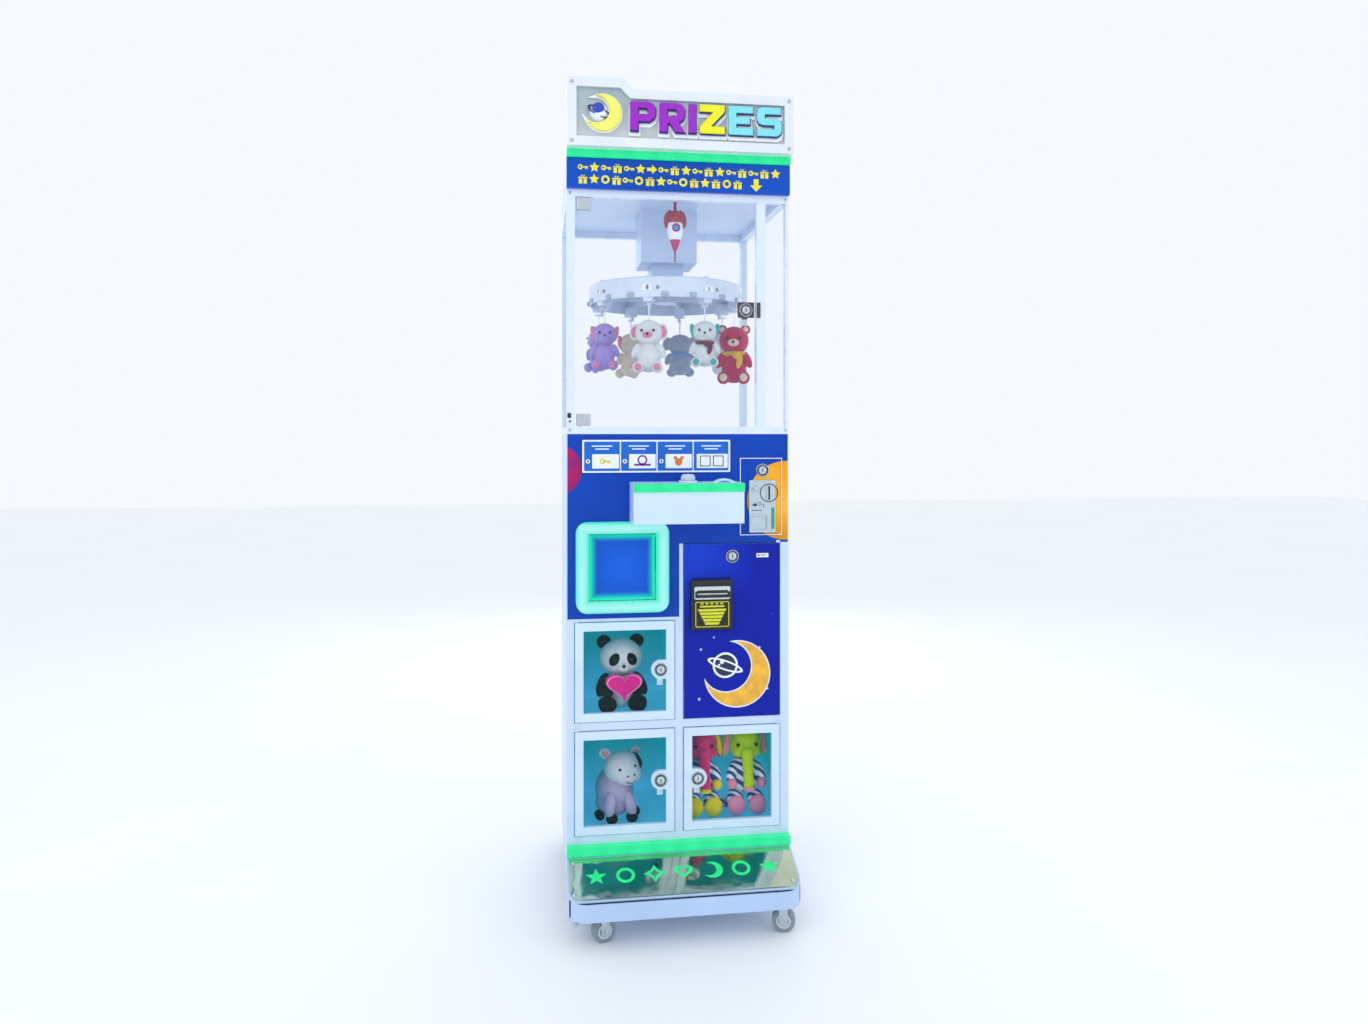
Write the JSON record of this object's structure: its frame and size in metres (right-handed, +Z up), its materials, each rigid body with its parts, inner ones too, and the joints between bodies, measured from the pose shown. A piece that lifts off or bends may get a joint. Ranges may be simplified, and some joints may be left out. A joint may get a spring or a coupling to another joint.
{
  "type": "carousel prize machine",
  "caption": "Free-standing spinning-carousel prize machine: glazed case with hanging plush toys, lit sign, prize outlet, coin and note doors, glazed prize lockers and a castered base.",
  "frame": {"origin": "on the floor under the middle of the machine's bounding box", "axes": "+X to the machine's right seen from the front, +Y from front to back, +Z up"},
  "size_m": [0.54, 0.66, 1.992],
  "materials": {
    "white_steel": "smooth white powder coat",
    "blue_graphic": "printed gloss film on sheet steel",
    "white_frame": "white-coated aluminium extrusion",
    "mirror": "acrylic mirror",
    "light_diffuser": "lit green acrylic diffuser",
    "surround_diffuser": "lit opal acrylic",
    "glass": "clear tempered glass",
    "window_acrylic": "clear acrylic",
    "liner": "teal moulded liner",
    "zinc": "zinc plated",
    "lock_chrome": "chrome plated zinc",
    "steel": "bright steel",
    "caster_rubber": "grey thermoplastic rubber",
    "galvanised": "galvanised sheet",
    "white_plastic": "white ABS",
    "black_plastic": "black ABS",
    "sign_face": "silver-grey sign board",
    "letter_plastic": "coloured acrylic letters",
    "plush": "short-pile plush",
    "motor": "black enamel",
    "board": "circuit board and supply"
  },
  "bodies": {
    "root": {"base_plinth": "white_steel", "kick_mirror": "mirror", "light_strips": "light_diffuser", "caster_mounts": "zinc", "cabinet_shell": "white_steel", "rear_cover": "white_steel", "front_frame": "white_steel", "control_panel": "blue_graphic", "hinge_pins": "zinc", "locker_liners": "liner", "locker_toys": "plush", "outlet_surround": "surround_diffuser", "prize_chute": "galvanised", "control_shelf": "white_steel", "case_frame": "white_frame", "case_floor": "white_steel", "fixed_glass": "glass", "header_box": "white_steel", "header_panel": "blue_graphic", "marquee_frame": "white_plastic", "marquee_face": "sign_face", "marquee_letters": "letter_plastic", "rocket_pointer": "white_plastic", "carousel_housing": "white_steel", "gear_motor": "motor", "carousel_bearings": "steel", "power_inlet": "black_plastic", "electronics": "board"},
    "carousel": {"carousel_drum": "white_plastic", "carousel_shaft": "steel", "hanging_toys": "plush"},
    "release_needle": {"release_needle": "steel"},
    "locker_door_upper": {"locker_door_upper": "white_plastic", "locker_window_upper": "window_acrylic"},
    "locker_lock_upper": {"locker_lock_upper": "lock_chrome"},
    "locker_door_left": {"locker_door_left": "white_plastic", "locker_window_left": "window_acrylic"},
    "locker_lock_left": {"locker_lock_left": "lock_chrome"},
    "locker_door_right": {"locker_door_right": "white_plastic", "locker_window_right": "window_acrylic"},
    "locker_lock_right": {"locker_lock_right": "lock_chrome"},
    "bill_door": {"bill_door": "blue_graphic", "bill_validator": "black_plastic"},
    "bill_door_lock": {"bill_door_lock": "lock_chrome"},
    "coin_door": {"coin_door": "blue_graphic", "coin_selector": "lock_chrome"},
    "coin_door_lock": {"coin_door_lock": "lock_chrome"},
    "reject_button": {"reject_button": "lock_chrome"},
    "return_flap": {"return_flap": "lock_chrome"},
    "glass_door": {"front_glass_door": "glass", "glass_door_hinges": "zinc"},
    "front_door_lock": {"front_door_lock": "lock_chrome"},
    "outlet_flap": {"outlet_flap": "blue_graphic"},
    "play_button": {"play_button": "white_plastic"},
    "caster_swivel_left": {"caster_fork_left": "zinc"},
    "caster_swivel_right": {"caster_fork_right": "zinc"},
    "caster_wheel_front_left": {"caster_wheel_front_left": "caster_rubber"},
    "caster_wheel_front_right": {"caster_wheel_front_right": "caster_rubber"},
    "caster_wheel_rear_left": {"caster_wheel_rear_left": "caster_rubber"},
    "caster_wheel_rear_right": {"caster_wheel_rear_right": "caster_rubber"}
  },
  "joints": [
    {"name": "carousel_spin", "type": "hinge", "parent": "root", "child": "carousel", "pos_m": [0, 0.085, 1.5], "axis": [0, 0, 1], "continuous": true},
    {"name": "release_drop", "type": "slide", "parent": "root", "child": "release_needle", "axis": [0, 0, -1], "range_m": [0, 0.028], "stiffness_N_per_m": 100, "springref_m": -0.008},
    {"name": "locker_upper_swing", "type": "hinge", "parent": "root", "child": "locker_door_upper", "pos_m": [-0.2465, -0.1795, 0.593], "axis": [0, 0, -1], "range_deg": [0, 105]},
    {"name": "locker_upper_lock_turn", "type": "hinge", "parent": "locker_door_upper", "child": "locker_lock_upper", "pos_m": [-0.0456, -0.18, 0.595], "axis": [0, -1, 0], "range_deg": [0, 90]},
    {"name": "locker_left_swing", "type": "hinge", "parent": "root", "child": "locker_door_left", "pos_m": [-0.2465, -0.1795, 0.329], "axis": [0, 0, -1], "range_deg": [0, 105]},
    {"name": "locker_left_lock_turn", "type": "hinge", "parent": "locker_door_left", "child": "locker_lock_left", "pos_m": [-0.0456, -0.18, 0.33], "axis": [0, -1, 0], "range_deg": [0, 90]},
    {"name": "locker_right_swing", "type": "hinge", "parent": "root", "child": "locker_door_right", "pos_m": [0.2435, -0.1795, 0.329], "axis": [0, 0, 1], "range_deg": [0, 105]},
    {"name": "locker_right_lock_turn", "type": "hinge", "parent": "locker_door_right", "child": "locker_lock_right", "pos_m": [0.0446, -0.18, 0.33], "axis": [0, 1, 0], "range_deg": [0, 90]},
    {"name": "bill_door_swing", "type": "hinge", "parent": "root", "child": "bill_door", "pos_m": [0.2435, -0.1795, 0.684], "axis": [0, 0, 1], "range_deg": [0, 100]},
    {"name": "bill_lock_turn", "type": "hinge", "parent": "bill_door", "child": "bill_door_lock", "pos_m": [0.129, -0.18, 0.864], "axis": [0, -1, 0], "range_deg": [0, 90]},
    {"name": "coin_door_swing", "type": "hinge", "parent": "root", "child": "coin_door", "pos_m": [0.2465, -0.1795, 1.008], "axis": [0, 0, 1], "range_deg": [0, 100]},
    {"name": "coin_lock_turn", "type": "hinge", "parent": "coin_door", "child": "coin_door_lock", "pos_m": [0.2037, -0.18, 1.072], "axis": [0, 1, 0], "range_deg": [0, 90]},
    {"name": "reject_press", "type": "slide", "parent": "coin_door", "child": "reject_button", "axis": [0, 1, 0], "range_m": [0, 0.004], "stiffness_N_per_m": 300, "springref_m": -0.002},
    {"name": "return_flap_swing", "type": "hinge", "parent": "coin_door", "child": "return_flap", "pos_m": [0.194, -0.1865, 0.9595], "axis": [1, 0, 0], "range_deg": [0, 40]},
    {"name": "glass_door_swing", "type": "hinge", "parent": "root", "child": "glass_door", "pos_m": [-0.2385, -0.172, 1.451], "axis": [0, 0, -1], "range_deg": [0, 105]},
    {"name": "front_lock_turn", "type": "hinge", "parent": "glass_door", "child": "front_door_lock", "pos_m": [0.1645, -0.172, 1.462], "axis": [0, -1, 0], "range_deg": [0, 90]},
    {"name": "outlet_flap_swing", "type": "hinge", "parent": "root", "child": "outlet_flap", "pos_m": [-0.1375, -0.1738, 0.916], "axis": [1, 0, 0], "range_deg": [0, 70]},
    {"name": "play_press", "type": "slide", "parent": "root", "child": "play_button", "axis": [0, 0, -1], "range_m": [0, 0.005], "stiffness_N_per_m": 400, "springref_m": -0.004},
    {"name": "caster_left_swivel", "type": "hinge", "parent": "root", "child": "caster_swivel_left", "pos_m": [-0.21, -0.28, 0.062], "axis": [0, 0, 1], "continuous": true},
    {"name": "front_left_wheel_spin", "type": "hinge", "parent": "caster_swivel_left", "child": "caster_wheel_front_left", "pos_m": [-0.18908, -0.2732, 0.027], "axis": [0.309, -0.9511, 0], "continuous": true},
    {"name": "rear_left_wheel_spin", "type": "hinge", "parent": "root", "child": "caster_wheel_rear_left", "pos_m": [-0.21, 0.27, 0.027], "axis": [1, 0, 0], "continuous": true},
    {"name": "caster_right_swivel", "type": "hinge", "parent": "root", "child": "caster_swivel_right", "pos_m": [0.21, -0.28, 0.062], "axis": [0, 0, 1], "continuous": true},
    {"name": "front_right_wheel_spin", "type": "hinge", "parent": "caster_swivel_right", "child": "caster_wheel_front_right", "pos_m": [0.23125, -0.28569, 0.027], "axis": [-0.2588, -0.9659, 0], "continuous": true},
    {"name": "rear_right_wheel_spin", "type": "hinge", "parent": "root", "child": "caster_wheel_rear_right", "pos_m": [0.21, 0.27, 0.027], "axis": [1, 0, 0], "continuous": true}
  ]
}
